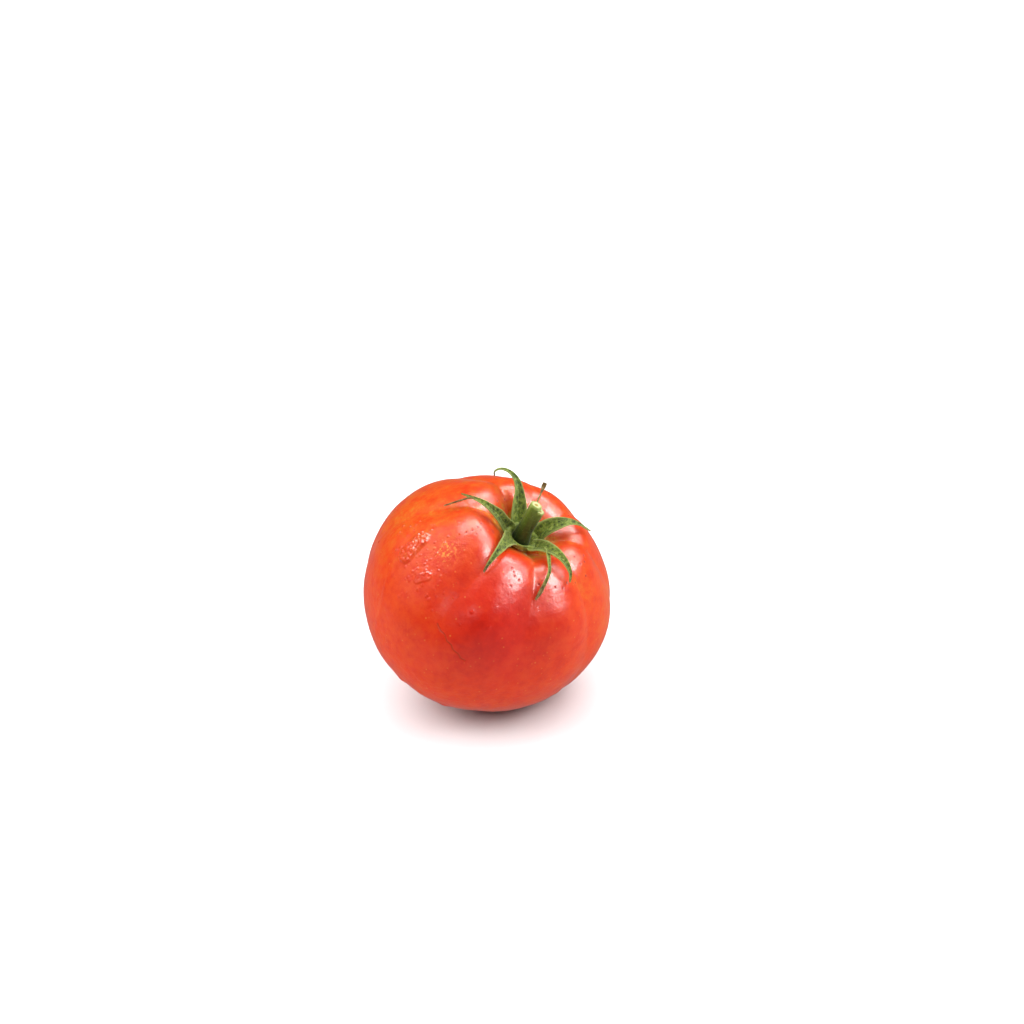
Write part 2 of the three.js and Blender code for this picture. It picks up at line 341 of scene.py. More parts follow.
def calyx_leaf():
    """Tomato leaf tissue: green, mottled, with pale lengthwise veins and a fine down that
    dulls it, browning to dry straw where the tips have withered."""
    material, tree, surface = new_material("tomato calyx leaf")
    place = add_node(tree, "ShaderNodeTexCoord").outputs["Object"]
    along = add_node(tree, "ShaderNodeUVMap").outputs["UV"]
    mottle = add_node(
        tree,
        "ShaderNodeTexNoise",
        inputs={"Vector": place, "Scale": per_mm(1.1), "Detail": 4, "Roughness": 0.65},
    ).outputs["Fac"]
    green = add_node(
        tree,
        "ShaderNodeValToRGB",
        inputs={"Fac": mottle},
        stops=[(0.38, "#25330A"), (0.5, "#586C1A"), (0.63, "#95A246")],
    )
    from_root = add_node(tree, "ShaderNodeSeparateXYZ", inputs={"Vector": along})
    young = add_node(
        tree,
        "ShaderNodeMapRange",
        inputs={"Value": from_root.outputs["Y"], "From Max": 0.45, "To Min": 0.28, "To Max": 0.0},
    )
    stretched = add_node(tree, "ShaderNodeMapping", inputs={"Vector": along, "Scale": (9, 1.6, 1)})
    veins = add_node(
        tree,
        "ShaderNodeTexNoise",
        inputs={"Vector": stretched.outputs[0], "Scale": 1.0, "Detail": 2, "Roughness": 0.5},
    )
    net = add_node(
        tree,
        "ShaderNodeTexVoronoi",
        {"feature": "DISTANCE_TO_EDGE"},
        {"Vector": place, "Scale": per_mm(1.3)},
    )
    vein, netted = [
        add_node(
            tree,
            "ShaderNodeMapRange",
            {"interpolation_type": "SMOOTHSTEP"},
            {"Value": value, "From Min": low, "From Max": high, "To Max": most},
        ).outputs[0]
        for value, low, high, most in [
            (veins.outputs["Fac"], 0.52, 0.68, 0.6),
            (net.outputs["Distance"], 0.14, 0.02, 0.2),
        ]
    ]
    edge, dry = [
        add_node(tree, "ShaderNodeAttribute", {"attribute_name": name}).outputs["Fac"]
        for name in ("edge", "dry")
    ]
    straw = add_node(
        tree,
        "ShaderNodeValToRGB",
        inputs={"Fac": mottle},
        stops=[(0.35, "#47371C"), (0.65, "#987C47")],
    )
    layers = [
        (young.outputs[0], linear("#8A9A34")),
        (vein, linear("#84914A")),
        (netted, linear("#93A048")),
        (edge, linear("#9AA658")),
        (dry, straw.outputs["Color"]),
    ]
    colour = green.outputs["Color"]
    for amount, over in layers:
        mixed = add_node(
            tree, "ShaderNodeMix", {"data_type": "RGBA"}, {0: amount, 6: colour, 7: over}
        )
        colour = mixed.outputs[2]
    relief = add_node(tree, "ShaderNodeMath", {"operation": "ADD"}, {0: mottle, 1: vein})
    bump = add_node(
        tree,
        "ShaderNodeBump",
        inputs={"Strength": 0.5, "Distance": 0.2 * MM, "Height": relief.outputs[0]},
    )
    shader = add_node(
        tree,
        "ShaderNodeBsdfPrincipled",
        inputs={
            "Base Color": colour,
            "Roughness": 0.6,
            "IOR": 1.42,
            "Sheen Weight": 0.1,
            "Sheen Roughness": 0.5,
            "Subsurface Weight": 0.1,
            "Subsurface Radius": (0.0006, 0.001, 0.0003),
            "Subsurface Scale": 1.0,
            "Normal": bump.outputs[0],
        },
    )
    tree.links.new(shader.outputs[0], surface)
    return material


def stalk_bark():
    """Green tomato stalk: firm and faintly mottled, with painted shade that darkens it towards its
    foot in the hollow, and paler in a collar under the cut."""
    material, tree, surface = new_material("green tomato stalk")
    place = add_node(tree, "ShaderNodeTexCoord").outputs["Object"]
    mottle = add_node(
        tree,
        "ShaderNodeTexNoise",
        inputs={"Vector": place, "Scale": per_mm(1.3), "Detail": 4, "Roughness": 0.65},
    ).outputs["Fac"]
    height = add_node(tree, "ShaderNodeAttribute", {"attribute_name": "height"}).outputs["Fac"]
    # Painted shade: the height attribute darkens the bark towards its foot in the hollow
    shade = add_node(
        tree, "ShaderNodeMath", {"operation": "MULTIPLY_ADD"}, {0: mottle, 1: 0.5, 2: height}
    )
    green = add_node(
        tree,
        "ShaderNodeValToRGB",
        inputs={"Fac": shade.outputs[0]},
        stops=[(0.3, "#2A370D"), (0.62, "#4E631A"), (0.94, "#6B8229"), (1.0, "#98A854")],
    )
    bump = add_node(
        tree, "ShaderNodeBump", inputs={"Strength": 0.5, "Distance": 0.2 * MM, "Height": mottle}
    )
    shader = add_node(
        tree,
        "ShaderNodeBsdfPrincipled",
        inputs={
            "Base Color": green.outputs["Color"],
            "Roughness": 0.55,
            "IOR": 1.42,
            "Sheen Weight": 0.1,
            "Normal": bump.outputs[0],
        },
    )
    tree.links.new(shader.outputs[0], surface)
    return material


def cut_pith():
    """The cut end of the stalk: a moist cream ring of wood round a darker, yellowish pith."""
    material, tree, surface = new_material("cut stalk pith")
    place = add_node(tree, "ShaderNodeTexCoord").outputs["Object"]
    ring = add_node(tree, "ShaderNodeAttribute", {"attribute_name": "ring"}).outputs["Fac"]
    speckle = add_node(
        tree,
        "ShaderNodeTexNoise",
        inputs={"Vector": place, "Scale": per_mm(0.6), "Detail": 3, "Roughness": 0.6},
    ).outputs["Fac"]
    wavy = add_node(
        tree, "ShaderNodeMath", {"operation": "MULTIPLY_ADD"}, {0: speckle, 1: 0.3, 2: ring}
    )
    colour = add_node(
        tree,
        "ShaderNodeValToRGB",
        inputs={"Fac": wavy.outputs[0]},
        stops=[(0.18, "#8C7634"), (0.46, "#B8A650"), (0.66, "#E6E3B4"), (1.0, "#A8B468")],
    )
    shader = add_node(
        tree,
        "ShaderNodeBsdfPrincipled",
        inputs={"Base Color": colour.outputs["Color"], "Roughness": 0.45, "IOR": 1.4},
    )
    tree.links.new(shader.outputs[0], surface)
    return material


def hair_down():
    """Plant down: fine pale hairs that soften the outline of the greenery."""
    material, tree, surface = new_material("plant down")
    place = add_node(tree, "ShaderNodeTexCoord").outputs["Object"]
    tint = add_node(tree, "ShaderNodeTexNoise", inputs={"Vector": place, "Scale": per_mm(4)})
    colour = add_node(
        tree,
        "ShaderNodeValToRGB",
        inputs={"Fac": tint.outputs["Fac"]},
        stops=[(0.35, "#74823F"), (0.65, "#A3AC74")],
    )
    shader = add_node(
        tree,
        "ShaderNodeBsdfPrincipled",
        inputs={"Base Color": colour.outputs["Color"], "Roughness": 0.5},
    )
    tree.links.new(shader.outputs[0], surface)
    return material


# ---- the fruit


def hill(away, width, steepness=2):
    """1 in the middle, falling to about a third at width away, and on to 0."""
    return np.exp(-(np.abs(away / width) ** steepness))


def soft_step(low, high, values):
    """0 up to low, then smoothly to 1 at high."""
    share = np.clip((values - low) / (high - low), 0, 1)
    return share * share * (3 - 2 * share)


def section(polar):
    """Distance from the stalk axis and height, from the stalk (0) to the blossom end (pi)."""
    upper = np.cos(polar) >= 0
    power = np.where(upper, 2 / SHOULDER_ROUNDNESS, 2 / BASE_ROUNDNESS)
    radius = BELLY_RADIUS * np.abs(np.sin(polar)) ** power
    rise = np.abs(np.cos(polar)) ** power
    dimple = BLOSSOM_DIMPLE["depth"] * hill(radius, BLOSSOM_DIMPLE["radius"])
    ring = hill(radius - SHOULDER_RING["radius"], SHOULDER_RING["width"])
    hollow = hill(radius, STALK_HOLLOW["radius"], STALK_HOLLOW["steepness"])
    shoulder = (
        SHOULDER_HEIGHT * rise + SHOULDER_RING["rise"] * ring - STALK_HOLLOW["depth"] * hollow
    )
    return radius, np.where(upper, shoulder, dimple - BASE_DEPTH * rise)


def crease_depth(angle, polar, radius):
    upper = (np.cos(polar) >= 0) * 1.0
    travelled = polar / (np.pi / 2) * QUARTER_SKIN_LENGTH
    half_width = CREASE_HALF_WIDTH + CREASE_WIDENING * radius
    start = 1 - hill(radius, CREASE_START_RADIUS)
    bend = upper * hill(radius, CREASE_BEND_RADIUS, 3)
    dent = np.zeros_like(radius)
    for bearing, inner, depth, reach, trace in CREASES:
        turn = angle - np.radians(bearing + (inner - bearing) * bend)
        away = np.arctan2(np.sin(turn), np.cos(turn)) * np.maximum(radius, 3)
        fade = 1 / (1 + (travelled / reach) ** CREASE_FADE)
        here = trace + (depth - trace) * fade
        dent += here * start * hill(away, half_width, CREASE_SHARPNESS)
    return dent


def fruit_surface(angle, polar):
    """Points of the lobed skin, in millimetres."""
    step = 0.001
    radius, height = section(polar)
    further = section(polar + step)
    nearer = section(polar - step)
    out_x, out_y = nearer[1] - further[1], further[0] - nearer[0]
    length = np.hypot(out_x, out_y)
    upper = (np.cos(polar) >= 0) * 1.0
    on_shoulder = hill(radius - SHOULDER_SWELL["radius"], SHOULDER_SWELL["width"])
    swell = LOBE_SWELL + upper * SHOULDER_SWELL["rise"] * on_shoulder
    out = (swell - crease_depth(angle, polar, radius)) / length
    oval = sum(rise * np.cos(n * (angle - math.radians(at))) for n, rise, at in OUT_OF_ROUND)
    reach = (radius + out * out_x) * (1 + oval / BELLY_RADIUS)
    places = np.stack([reach * np.cos(angle), reach * np.sin(angle), height + out * out_y], -1)
    lengths = np.linalg.norm(places, axis=-1)
    from_heel = np.arccos(np.clip(places @ heel_axis / lengths, -1, 1)) * FRUIT_REACH
    heel = HEEL["rise"] * hill(from_heel, HEEL["width"])
    return places + heel[..., None] * heel_axis


def fruit_normals(angle, polar):
    step = 0.004
    across = fruit_surface(angle + step, polar) - fruit_surface(angle - step, polar)
    down = fruit_surface(angle, polar + step) - fruit_surface(angle, polar - step)
    normals = np.cross(down, across)
    lengths = np.linalg.norm(normals, axis=-1, keepdims=True)
    straight = np.stack([0 * angle, 0 * angle, np.sign(np.cos(polar))], -1)
    return np.where(lengths > 1e-6, normals / np.maximum(lengths, 1e-6), straight)


def on_skin(bearing, polar):
    """The skin's point at a bearing and at degrees round from the stalk."""
    return fruit_surface(np.array([math.radians(bearing)]), np.array([math.radians(polar)]))[0]


def from_line(places, line):
    """Each place's distance from a bent line through some points."""
    nearest = np.full(len(places), 1e9)
    for start, end in zip(line, line[1:]):
        run = end - start
        share = np.clip((places - start) @ run / (run @ run), 0, 1)
        gap = np.linalg.norm(places - start - share[:, None] * run, axis=-1)
        nearest = np.minimum(nearest, gap)
    return nearest


# Marks on the skin, by bearing and degrees round from the stalk
PITS = [
    (-155.1, 27.6, 0.34), (-159.4, 25.4, 0.38), (-148.1, 29.4, 0.3), (-152.5, 30.3, 0.3),
    (-151.0, 26.8, 0.28), (-153.1, 32.9, 0.28), (-102.8, 29.3, 0.4), (-99.4, 30.8, 0.36),
    (-97.6, 32.4, 0.42), (-92.8, 33.5, 0.4), (-97.7, 37.0, 0.36), (-47.8, 34.2, 0.4),
    (-53.3, 35.9, 0.34), (-60.0, 35.1, 0.36), (-73.8, 33.7, 0.36), (-20.1, 26.1, 0.36),
    (-21.5, 30.4, 0.36), (-10.9, 29.5, 0.36), (-15.9, 31.3, 0.28), (-22.9, 36.2, 0.3),
    (-60.3, 27.0, 0.3), (-36.8, 35.8, 0.3), (40.9, 27.9, 0.3), (127.1, 19.4, 0.3),
    (145.0, 19.7, 0.3), (70.0, 30.0, 0.36), (178.0, 84.0, 0.4), (96.0, 62.0, 0.36),
]
RED_SPOT = (-149.3, 20.2, 0.8)
# Soft swellings between the creases: bearing, degrees round, rise, width
SWELLINGS = [
    (-167, 33, 0.75, 8),
    (-102, 49, 1.7, 9.5),
    (-52, 50, 2.4, 10),
    (0, 27, 0.55, 8),
    (122, 19, 0.4, 8),
]
# Small bumps low on the skin: bearing, degrees round, rise, width
BUMPS = [
    (-123.9, 127.0, 0.45, 1.8),
    (-111.2, 122.7, 0.3, 1.5),
    (-96.9, 126.5, 0.35, 1.8),
    (-39.0, 104.0, 0.22, 1.6),
]
# A fine raised line down the left side
RIDGE = [(-157.0, 74.0), (-155.0, 79.2), (-150.4, 87.2), (-147.0, 95.2), (-144.4, 107.4)]
RIDGE_HALF_WIDTH = 0.7
RIDGE_RISE = 0.22
# Blisters: from, to, half width, rise
BLISTERS = [
    ((-160.0, 62.5), (-164.8, 53.0), 3.3, 0.75),
    ((-144.0, 62.0), (-141.5, 56.5), 1.7, 0.22),
    ((-147.5, 60.0), (-145.0, 57.0), 1.4, 0.16),
]
# Droplets round the blisters: middle and spread, or least and most
DROPLETS = 90
DROPLET_BEARING = (-152, 16)
DROPLET_ROUND = (57, 9)
DROPLET_RADIUS = (0.3, 0.75)
DROPLET_RISE = (0.05, 0.16)
# The crack's line
CRACK = [
    (-121.3, 69.1), (-118.2, 70.9), (-115.9, 71.1), (-113.4, 73.4), (-110.6, 74.0),
    (-109.0, 75.9), (-106.0, 76.6), (-104.2, 78.4), (-101.8, 78.6),
]
CRACK_HALF_WIDTH = 0.22
CRACK_DEPTH = 0.16
PIT_DEPTH = 0.11
# How far round each mark the skin is meshed finer
FINER_ROUND_CRACK = 1.6
FINER_ROUND_BLISTER = 1.5
FINER_ROUND_PIT = 1
FINER_ROUND_DROPLET = 0.8
# The skin's gentle waves: size, rise
SKIN_WAVES = [(9, 0.16), (2.5, 0.03)]
# Blisters are lumpy, and their tops and the droplets' fall from this share of the half width
BLISTER_LUMPS = {"size": 0.9, "share": 0.6}
BLISTER_TOP = 0.62
DROPLET_TOP = 0.3
# The corky scar at the blossom end, and the streaks that run out from it
SCAR_RADIUS = 1.3
SCAR_RISE = 0.5
SCAR_STREAKS = 7
STREAK_REACH = 3.2
# How strongly each mark is coloured
PAINTED = {"pit": 0.9, "red_spot": 0.45, "crack": 0.85, "droplet": 0.8, "streaks": 0.25}

SPECKLED_PATCH = (-148.5, 43.8, 3.4)
# The spot on the front painted deepest red, standing in for shade, and its reach
DEEPEST_RED_SPOT = (-95.0, 54.0, 24)
# How much more orange the skin is: away from the deepest red spot, as painted shade on the front
# and painted light elsewhere over real uneven ripening, and less ripe in the hollow and in the
# creases
PAINTED_LIGHT_AWAY = 0.39
# and the share of that painted light left at the blossom end
PAINTED_LIGHT_AT_BASE = 0.6
UNRIPE_HOLLOW = {"strength": 0.55, "radius": 9.5}
UNRIPE_CREASES = {"strength": 0.18, "radius": 22}
# Patches that ripened less: bearing, degrees round, size in mm, strength
PALE_PATCHES = [
    (-161.4, 38.0, 8, 0.1),
    (-172.0, 50.0, 16, 0.06),
    (165.0, 62.0, 18, 0.22),
    (128.0, 40.0, 9, 0.12),
    (-5.0, 66.0, 12, 0.22),
    (-43.4, 50.5, 1.2, 0.4),
    (-30.0, 40.0, 6, 0.2),
    (60.0, 60.0, 16, 0.22),
]

FLAT_SPOT_ROUNDING = 0.15
FRUIT_AROUND = 272
FRUIT_ROWS = 168


def polar_and_angle(places):
    length = np.linalg.norm(places, axis=-1)
    polar = np.arccos(np.clip(places[:, 2] / length, -1, 1))
    return np.arctan2(places[:, 1], places[:, 0]), polar


def away_from(places, spot):
    return np.linalg.norm(places - spot, axis=-1)


def lumpy(places, size):
    """Noise at each place, in lumps of this size."""
    return np.array([noise.noise(Vector(place) / size) for place in places])


def make_fruit():
    """The berry: a ball drawn out to the lobed skin, meshed finer where it has marks."""
    deselect()
    bpy.ops.mesh.primitive_uv_sphere_add(segments=FRUIT_AROUND, ring_count=FRUIT_ROWS, radius=1)
    fruit = named("tomato_fruit")
    pits = [(on_skin(b, p), size) for b, p, size in PITS]
    blisters = [([on_skin(*a), on_skin(*b)], w, rise) for a, b, w, rise in BLISTERS]
    crack = [on_skin(*spot) for spot in CRACK]
    chance = random.Random(11)
    droplets = []
    for _ in range(DROPLETS):
        spot = on_skin(chance.gauss(*DROPLET_BEARING), chance.gauss(*DROPLET_ROUND))
        droplets.append((spot, chance.uniform(*DROPLET_RADIUS), chance.uniform(*DROPLET_RISE)))

    def marked(middles):
        skin = fruit_surface(*polar_and_angle(middles))
        near = from_line(skin, crack) < FINER_ROUND_CRACK
        for line, width, _ in blisters:
            near |= from_line(skin, line) < width + FINER_ROUND_BLISTER
        for spot, size in pits:
            near |= away_from(skin, spot) < size + FINER_ROUND_PIT
        for spot, size, _ in droplets:
            near |= away_from(skin, spot) < size + FINER_ROUND_DROPLET
        return near

    choose_faces(fruit, marked)
    bpy.ops.mesh.subdivide(number_cuts=3)
    leave_edit()
    angle, polar = polar_and_angle(points_of(fruit))
    skin = fruit_surface(angle, polar)
    radius, _ = section(polar)
    rise = sum(height * lumpy(skin, size) for size, height in SKIN_WAVES)
    for bearing, round_from_stalk, height, width in SWELLINGS + BUMPS:
        rise += height * hill(away_from(skin, on_skin(bearing, round_from_stalk)), width)
    ridge = [on_skin(*spot) for spot in RIDGE]
    rise += RIDGE_RISE * hill(from_line(skin, ridge), RIDGE_HALF_WIDTH)
    pit_share = np.zeros(len(skin))
    for spot, size in pits:
        pit_share = np.maximum(pit_share, hill(away_from(skin, spot), size, 3))
    rise -= PIT_DEPTH * pit_share
    red_spot = hill(away_from(skin, on_skin(*RED_SPOT[:2])), RED_SPOT[2], 4)
    lumps = 1 + BLISTER_LUMPS["share"] * lumpy(skin, BLISTER_LUMPS["size"])
    wet = np.zeros(len(skin))
    for line, width, height in blisters:
        inside = 1 - soft_step(BLISTER_TOP, 1, from_line(skin, line) / width)
        rise += inside * height * lumps
        wet = np.maximum(wet, inside)
    for spot, size, height in droplets:
        dome = 1 - soft_step(DROPLET_TOP, 1, away_from(skin, spot) / size)
        rise += height * dome
        wet = np.maximum(wet, PAINTED["droplet"] * dome)
    crack_share = hill(from_line(skin, crack), CRACK_HALF_WIDTH)
    rise -= CRACK_DEPTH * crack_share
    upper, below = polar < np.pi / 2, np.cos(polar) < 0
    scar = below * hill(radius, SCAR_RADIUS, 4)
    rise += SCAR_RISE * scar
    skin = skin + rise[:, None] * fruit_normals(angle, polar)
    move_points(fruit, skin * MM)

    # Painted light and shade over real uneven ripening: deepest red on the front, more orange away
    # from it
    orange_share = PAINTED_LIGHT_AWAY * (1 - hill(away_from(skin, on_skin(*DEEPEST_RED_SPOT[:2])), DEEPEST_RED_SPOT[2]))
    low_down = PAINTED_LIGHT_AT_BASE + (1 - PAINTED_LIGHT_AT_BASE) * np.abs(np.sin(polar))
    orange_share *= np.where(upper, 1, low_down)
    orange_share += upper * UNRIPE_HOLLOW["strength"] * hill(radius, UNRIPE_HOLLOW["radius"], 4)
    dents = upper * crease_depth(angle, polar, radius)
    orange_share += UNRIPE_CREASES["strength"] * dents * hill(radius, UNRIPE_CREASES["radius"])
    for bearing, round_from_stalk, size, strength in PALE_PATCHES:
        orange_share += strength * hill(away_from(skin, on_skin(bearing, round_from_stalk)), size)
    paint(fruit, "ripening_and_light", np.clip(orange_share, 0, 1))
    away = away_from(skin, on_skin(*SPECKLED_PATCH[:2]))
    paint(fruit, "speckled", hill(away, SPECKLED_PATCH[2]))
    dark = np.maximum(PAINTED["pit"] * pit_share, PAINTED["red_spot"] * red_spot)
    paint(fruit, "pit", dark)
    paint(fruit, "crack", PAINTED["crack"] * crack_share)
    paint(fruit, "wet", wet)
    streaks = below * hill(radius, STREAK_REACH) * (np.cos(angle * SCAR_STREAKS) > 0.2)
    paint(fruit, "cork", np.clip(scar + PAINTED["streaks"] * streaks, 0, 1))
    return fruit


def press_flat(fruit):
    """The weight of the fruit presses its lowest skin flat on the table."""
    places = points_of(fruit)
    soft = FLAT_SPOT_ROUNDING * MM
    low = places[:, 2]
    rounded = (low + soft) ** 2 / (4 * soft)
    places[:, 2] = np.where(low > soft, low, np.where(low < -soft, 0, rounded))
    move_points(fruit, places)


# ---- the greenery


def smooth_line(points, at):
    """Places on a smooth line through the points; at runs from 0 to 1."""
    p = np.array(points, float)
    p = np.vstack([2 * p[0] - p[1], p, 2 * p[-1] - p[-2]])
    spot = at * (len(points) - 1)
    k = np.clip(spot.astype(int), 0, len(points) - 2)
    t = (spot - k)[:, None]
    a, b, c, d = p[k], p[k + 1], p[k + 2], p[k + 3]
    return 0.5 * (
        2 * b + (c - a) * t + (2 * a - 5 * b + 4 * c - d) * t**2 + (3 * b - a - 3 * c + d) * t**3
    )


def clear_of_skin(places, gap):
    """Lifts the points that come too near the fruit's skin, so that blades lie on it."""
    lifted = []
    for place in places:
        spot, normal, _, _ = skin_tree.find_nearest(Vector(place) * MM)
        above = (Vector(place) * MM - spot).dot(normal) / MM
        lifted.append(np.array(spot + normal * gap * MM) / MM if above < gap else place)
    return np.array(lifted)


SEPAL_ACROSS = 10
SEPAL_ALONG = 36
SEPAL_CUP = 0.3
GAP_UNDER_SEPAL = 0.12
# How much a blade's width wanders and its edges ruffle, and how often along it
WIDTH_WANDER = {"share": 0.1, "turns": 6}
EDGE_RUFFLE = {"share": 0.12, "turns": 7}
# The groove down its middle, as shares of half the width
MIDDLE_GROOVE = {"depth": 0.1, "width": 0.16}
PALE_EDGE = {"from": 0.66, "strength": 0.85, "on_hub": 0.15}


def blade(
    name, path, widths, roll=(0, 0), thickness=0.45, dry=(0.93, 1.05), along=SEPAL_ALONG
):
    """One leaf blade: a flat grid bent along its middle line, cupped, grooved and thickened.
    Roll is in degrees at its root and tip, and it withers between the two shares in dry."""
    deselect()
    bpy.ops.mesh.primitive_grid_add(x_subdivisions=SEPAL_ACROSS, y_subdivisions=along, size=1)
    piece = named(name)
    flat = points_of(piece)
    stations = np.unique(np.round(flat[:, 1] + 0.5, 5))
    middles = smooth_line(path, stations)
    tangents = np.gradient(middles, axis=0)
    tangents /= np.linalg.norm(tangents, axis=-1, keepdims=True)
    side = np.cross([0, 0, 1], tangents[0])
    sides = []
    for tangent in tangents:
        side = side - (side @ tangent) * tangent
        side /= np.linalg.norm(side)
        sides.append(side)
    sides = np.array(sides)
    tops = np.cross(tangents, sides)
    rolls = np.radians(roll[0] + (roll[1] - roll[0]) * stations)[:, None]
    turned_sides = sides * np.cos(rolls) + tops * np.sin(rolls)
    turned_tops = tops * np.cos(rolls) - sides * np.sin(rolls)
    row = np.searchsorted(stations, np.round(flat[:, 1] + 0.5, 5) - 1e-6)
    s = stations[row]
    u = flat[:, 0] * 2
    seed = sum(ord(letter) for letter in name)

    def uneven(turns, offset, apart):
        """Noise along the blade, its two halves apart."""
        spots = [(v * turns, seed + offset, side * apart) for v, side in zip(s, np.sign(u))]
        return np.array([noise.noise(Vector(spot)) for spot in spots])

    half = np.interp(s, np.linspace(0, 1, len(widths)), widths) / 2
    half = half * (1 + WIDTH_WANDER["share"] * uneven(WIDTH_WANDER["turns"], 0, 1))
    ruffle = EDGE_RUFFLE["share"] * uneven(EDGE_RUFFLE["turns"], 9, 2)
    groove = MIDDLE_GROOVE["depth"] * hill(u, MIDDLE_GROOVE["width"])
    lift = half * ((SEPAL_CUP + ruffle) * u**2 - groove)
    places = middles[row] + turned_sides[row] * (half * u)[:, None]
    places += turned_tops[row] * lift[:, None]
    move_points(piece, clear_of_skin(places, thickness / 2 + GAP_UNDER_SEPAL) * MM)
    paint(piece, "dry", soft_step(*dry, s))
    paint(piece, "edge", PALE_EDGE["strength"] * soft_step(PALE_EDGE["from"], 1, np.abs(u)))
    modify(piece, "SOLIDIFY", thickness=thickness * MM, offset=0)
    modify(piece, "SUBSURF", levels=1, render_levels=1)
    return piece


def joined(name, *pieces):
    take(pieces[0])
    for piece in pieces[1:]:
        piece.select_set(True)
    bpy.ops.object.join()
    return named(name)


SEPALS = {
    "sepal_tall": [
        dict(
            path=[
                (-1.4, 3.6, 26.2), (-1.9, 4.9, 27.0), (-2.9, 6.6, 29.5), (-4.1, 8.6, 32.6),
                (-5.3, 10.6, 35.2), (-7.1, 13.0, 37.0), (-9.4, 15.2, 37.1),
                (-11.9, 16.8, 35.7), (-13.4, 16.4, 34.2), (-13.0, 15.6, 33.0),
            ],
            widths=[5.0, 6.0, 5.9, 4.7, 3.3, 2.1, 1.4, 1.0, 0.7, 0.4],
            dry=(0.84, 0.97),
        )
    ],
    "sepal_forked": [
        dict(
            path=[
                (-3.6, 0.9, 26.2), (-5.2, 1.3, 27.0), (-7.6, 0.3, 29.6), (-10.3, -1.0, 32.8),
                (-12.9, -1.5, 34.7), (-15.2, -1.2, 35.6), (-17.6, 0.2, 35.1),
                (-19.7, 2.2, 33.6), (-22.5, 6.0, 30.1),
            ],
            widths=[4.8, 5.2, 4.5, 3.7, 3.0, 2.2, 1.5, 1.0, 0.4],
            roll=(-25, -20),
            dry=(0.85, 1.1),
        ),
        dict(
            path=[(-18.0, 0.5, 34.9), (-20.4, 2.1, 33.2), (-23.6, 2.1, 29.8), (-26.4, 2.7, 25.8)],
            widths=[0.9, 0.9, 0.8, 0.3],
            thickness=0.4,
            dry=(0.0, 0.35),
            along=14,
        ),
    ],
    "sepal_left": [
        dict(
            path=[
                (-2.8, -2.4, 26.2), (-4.1, -3.4, 27.0), (-5.7, -6.6, 29.6), (-7.8, -11.4, 32.6),
                (-9.3, -15.1, 33.1), (-10.6, -17.8, 32.1), (-11.7, -20.2, 29.9),
                (-12.2, -21.9, 27.9),
            ],
            widths=[4.8, 6.0, 5.2, 3.7, 2.6, 1.7, 1.0, 0.5],
            dry=(0.78, 0.95),
        )
    ],
    "sepal_split": [
        dict(
            path=[
                (2.9, -2.2, 26.2), (4.2, -3.1, 27.0), (5.4, -4.6, 29.0), (6.8, -7.4, 32.0),
                (8.6, -10.8, 34.8), (10.7, -13.4, 35.7), (12.6, -15.1, 35.1),
                (14.2, -16.1, 33.5), (15.3, -17.2, 30.8),
            ],
            widths=[4.8, 6.2, 6.0, 4.8, 3.3, 2.4, 1.7, 1.1, 0.4],
            roll=(15, 0),
        ),
        dict(
            path=[
                (6.6, -7.2, 31.8), (6.6, -9.5, 33.0), (6.6, -12.0, 33.5), (6.7, -15.0, 34.1),
                (7.1, -17.8, 33.9), (7.1, -19.8, 32.7), (6.8, -21.6, 30.6), (6.4, -23.4, 28.5),
                (5.8, -25.0, 26.6),
            ],
            widths=[2.0, 1.6, 1.3, 1.1, 1.0, 1.0, 1.2, 1.3, 0.5],
            thickness=0.4,
            dry=(0.6, 0.85),
        ),
    ],
    "sepal_right": [
        dict(
            path=[
                (3.7, 1.3, 26.2), (5.1, 1.7, 27.0), (5.6, 2.2, 29.0), (7.1, 2.7, 31.7),
                (9.0, 3.1, 33.7), (11.1, 3.9, 34.8), (13.6, 4.8, 35.0), (16.2, 5.6, 34.4),
                (18.9, 6.3, 33.1), (21.3, 7.2, 31.7),
            ],
            widths=[4.8, 6.0, 6.0, 5.5, 4.5, 3.3, 2.1, 1.2, 0.7, 0.3],
            roll=(14, 5),
            dry=(0.9, 1.05),
        )
    ],
    "sepal_back": [
        dict(
            path=[
                (1.1, 3.7, 26.2), (1.5, 5.1, 27.0), (1.7, 7.4, 30.0), (2.0, 9.6, 31.9),
                (2.5, 12.4, 32.7), (3.1, 15.2, 33.2), (3.5, 17.3, 33.9), (3.5, 18.0, 35.2),
            ],
            widths=[3.4, 3.2, 1.3, 0.5, 0.35, 0.45, 1.5, 1.3],
            dry=(0.1, 0.9),
            thickness=0.35,
        )
    ],
}


